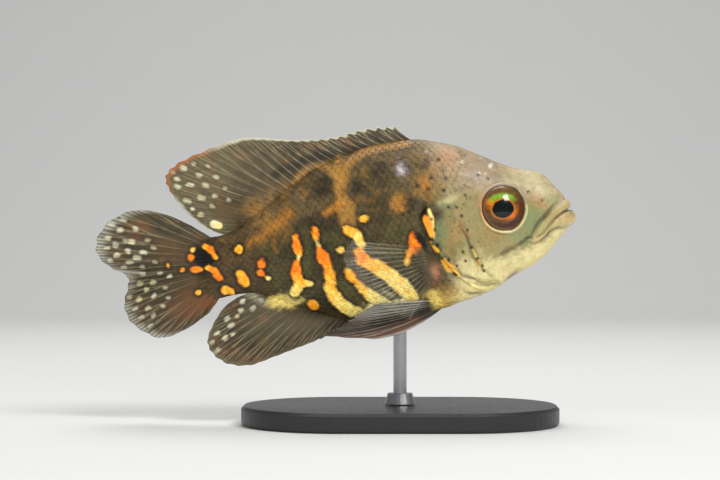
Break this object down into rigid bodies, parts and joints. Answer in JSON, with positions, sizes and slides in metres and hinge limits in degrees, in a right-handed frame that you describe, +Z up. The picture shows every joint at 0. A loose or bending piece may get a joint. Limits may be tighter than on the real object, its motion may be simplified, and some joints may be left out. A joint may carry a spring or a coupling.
{
  "type": "oscar fish",
  "caption": "Life-size juvenile oscar fish, swimming nose up with its fins spread and its tail half folded, held by a short rod on a flat oval base.",
  "frame": {"origin": "centre of the underside of the stand's base, right under the middle of the body", "axes": "+X towards the snout, +Y to the fish's left, +Z up; the fish itself is pitched 9.5 degrees nose up"},
  "size_m": [0.1, 0.044, 0.0619],
  "materials": {
    "face": "moist, satin skin of the head, olive tan and cream",
    "skin": "moist, satin scaled skin, dark olive brown with orange and yellow bars",
    "eye": "wet and glossy, dark with a thin orange ring",
    "fin": "thin satin web with pale spots between grey-brown rays",
    "clear_fin": "thin, nearly clear web between pale rays",
    "stand": "satin black",
    "rod": "brushed"
  },
  "bodies": {
    "root": {"head": "face", "lower_jaw": "face", "gill_cover_right": "face", "gill_cover_left": "face", "torso": "skin", "caudal_peduncle": "skin", "eye_right": "eye", "eye_left": "eye", "dorsal_fin": "fin", "anal_fin": "fin", "caudal_fin": "fin", "pelvic_fin_right": "fin", "pelvic_fin_left": "fin", "pectoral_fin_right": "clear_fin", "pectoral_fin_left": "clear_fin", "stand_base": "stand", "stand_rod": "rod"}
  },
  "joints": []
}
